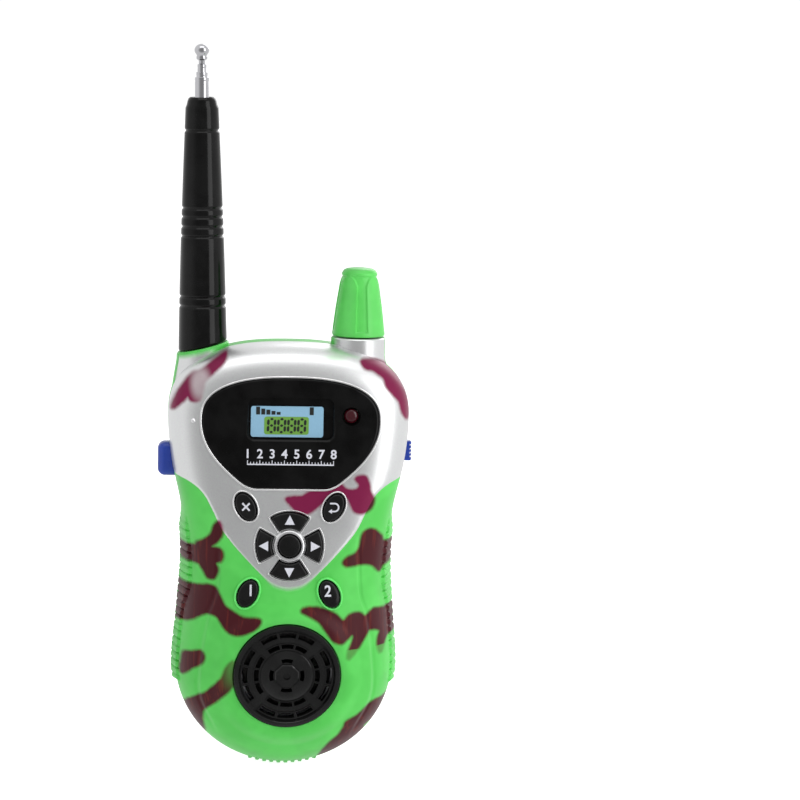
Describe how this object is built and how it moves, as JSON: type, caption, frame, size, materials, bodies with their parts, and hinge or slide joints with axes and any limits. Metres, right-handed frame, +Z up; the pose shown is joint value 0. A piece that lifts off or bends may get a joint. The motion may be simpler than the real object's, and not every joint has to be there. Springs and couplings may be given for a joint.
{
  "type": "toy walkie talkie",
  "caption": "Hand-held toy radio: waisted two-shell casing, telescopic antenna in a tapered sleeve, fluted knob, round speaker, printed display, small keys and a push-to-talk button.",
  "frame": {"origin": "centre of the battery door's flat outer face, on the back of the casing", "axes": "+X to the right seen from the front, -Y out of the front, +Z up towards the antenna"},
  "size_m": [0.0812, 0.0515, 0.2316],
  "materials": {
    "green_plastic": "satin moulded plastic; on the upper front it is spray-painted metallic silver, with maroon camouflage patches on both",
    "black_plastic": "glossy black moulded plastic",
    "blue_plastic": "satin blue moulded plastic",
    "chrome": "polished chrome plate",
    "zinc_steel": "zinc-plated steel",
    "printed_card": "light blue printed card with a green digit patch",
    "led_red": "dark red clear-tinted plastic, unlit",
    "circuit_board": "green solder mask",
    "grey_rubber": "soft grey silicone rubber",
    "black_paper": "black pressed paper",
    "battery_jacket": "printed film over a metal can",
    "black_moulding": "matte black moulded plastic",
    "blue_sleeve": "shrink sleeve",
    "red_wire": "soft vinyl insulation",
    "black_wire": "soft vinyl insulation"
  },
  "bodies": {
    "casing": {"front_casing": "green_plastic", "rear_casing": "green_plastic", "belt_clip": "green_plastic", "antenna_sleeve": "black_plastic", "display_bezel": "black_plastic", "speaker_grille": "black_plastic", "antenna_outer_tube": "chrome", "crystal": "chrome", "antenna_terminal": "zinc_steel", "ptt_spring": "zinc_steel", "ptt_switch_body": "zinc_steel", "power_switch_body": "zinc_steel", "speaker_frame": "zinc_steel", "speaker_magnet": "zinc_steel", "tuning_coil": "zinc_steel", "casing_screw_1": "zinc_steel", "casing_screw_2": "zinc_steel", "casing_screw_3": "zinc_steel", "casing_screw_4": "zinc_steel", "casing_screw_5": "zinc_steel", "pcb_screw_1": "zinc_steel", "pcb_screw_2": "zinc_steel", "clip_screw_1": "zinc_steel", "clip_screw_2": "zinc_steel", "display_card": "printed_card", "status_led": "led_red", "main_pcb": "circuit_board", "keypad_membrane": "grey_rubber", "speaker_cone": "black_paper", "battery_9v": "battery_jacket", "battery_snap": "black_moulding", "audio_chip": "black_moulding", "capacitor": "blue_sleeve", "battery_wire_red": "red_wire", "speaker_wire_red": "red_wire", "antenna_wire": "black_wire", "battery_wire_black": "black_wire", "speaker_wire_black": "black_wire"},
    "battery_door": {"battery_door": "green_plastic", "battery_door_screw": "zinc_steel"},
    "antenna_middle": {"antenna_middle_tube": "chrome"},
    "antenna_inner": {"antenna_inner_tube": "chrome"},
    "antenna_tip": {"antenna_tip_rod": "chrome"},
    "volume_knob": {"volume_knob": "green_plastic"},
    "ptt": {"ptt_button": "blue_plastic", "ptt_switch_plunger": "black_moulding"},
    "power": {"power_slider": "blue_plastic", "power_switch_lever": "black_moulding"},
    "key_clear": {"key_clear": "black_plastic"},
    "key_return": {"key_return": "black_plastic"},
    "key_up": {"key_up": "black_plastic"},
    "key_down": {"key_down": "black_plastic"},
    "key_left": {"key_left": "black_plastic"},
    "key_right": {"key_right": "black_plastic"},
    "key_centre": {"key_centre": "black_plastic"},
    "key_1": {"key_1": "black_plastic"},
    "key_2": {"key_2": "black_plastic"}
  },
  "joints": [
    {"name": "battery_door_hinge", "type": "hinge", "parent": "casing", "child": "battery_door", "pos_m": [0, -0.00095, -0.03], "axis": [-1, 0, 0], "range_deg": [0, 75]},
    {"name": "antenna_middle_slide", "type": "slide", "parent": "casing", "child": "antenna_middle", "axis": [-0.0192, 0, 0.9998], "range_m": [0, 0.07]},
    {"name": "antenna_inner_slide", "type": "slide", "parent": "antenna_middle", "child": "antenna_inner", "axis": [-0.0192, 0, 0.9998], "range_m": [0, 0.07]},
    {"name": "antenna_tip_slide", "type": "slide", "parent": "antenna_inner", "child": "antenna_tip", "axis": [-0.0192, 0, 0.9998], "range_m": [0, 0.07]},
    {"name": "volume_knob_turn", "type": "hinge", "parent": "casing", "child": "volume_knob", "pos_m": [0.022, -0.0165, 0.0928], "axis": [0, 0, 1], "continuous": true},
    {"name": "ptt_press", "type": "slide", "parent": "casing", "child": "ptt", "axis": [1, 0, 0], "range_m": [0, 0.0018], "stiffness_N_per_m": 600, "deforming": ["ptt_spring"]},
    {"name": "power_slide", "type": "slide", "parent": "casing", "child": "power", "axis": [0, 0, 1], "range_m": [0, 0.003]},
    {"name": "key_clear_press", "type": "slide", "parent": "casing", "child": "key_clear", "axis": [0, 1, 0], "range_m": [0, 0.0008], "stiffness_N_per_m": 800, "deforming": ["keypad_membrane"]},
    {"name": "key_return_press", "type": "slide", "parent": "casing", "child": "key_return", "axis": [0, 1, 0], "range_m": [0, 0.0008], "stiffness_N_per_m": 800, "deforming": ["keypad_membrane"]},
    {"name": "key_up_press", "type": "slide", "parent": "casing", "child": "key_up", "axis": [0, 1, 0], "range_m": [0, 0.0008], "stiffness_N_per_m": 800, "deforming": ["keypad_membrane"]},
    {"name": "key_down_press", "type": "slide", "parent": "casing", "child": "key_down", "axis": [0, 1, 0], "range_m": [0, 0.0008], "stiffness_N_per_m": 800, "deforming": ["keypad_membrane"]},
    {"name": "key_left_press", "type": "slide", "parent": "casing", "child": "key_left", "axis": [0, 1, 0], "range_m": [0, 0.0008], "stiffness_N_per_m": 800, "deforming": ["keypad_membrane"]},
    {"name": "key_right_press", "type": "slide", "parent": "casing", "child": "key_right", "axis": [0, 1, 0], "range_m": [0, 0.0008], "stiffness_N_per_m": 800, "deforming": ["keypad_membrane"]},
    {"name": "key_centre_press", "type": "slide", "parent": "casing", "child": "key_centre", "axis": [0, 1, 0], "range_m": [0, 0.0008], "stiffness_N_per_m": 800, "deforming": ["keypad_membrane"]},
    {"name": "key_1_press", "type": "slide", "parent": "casing", "child": "key_1", "axis": [0, 1, 0], "range_m": [0, 0.0008], "stiffness_N_per_m": 800, "deforming": ["keypad_membrane"]},
    {"name": "key_2_press", "type": "slide", "parent": "casing", "child": "key_2", "axis": [0, 1, 0], "range_m": [0, 0.0008], "stiffness_N_per_m": 800, "deforming": ["keypad_membrane"]}
  ]
}
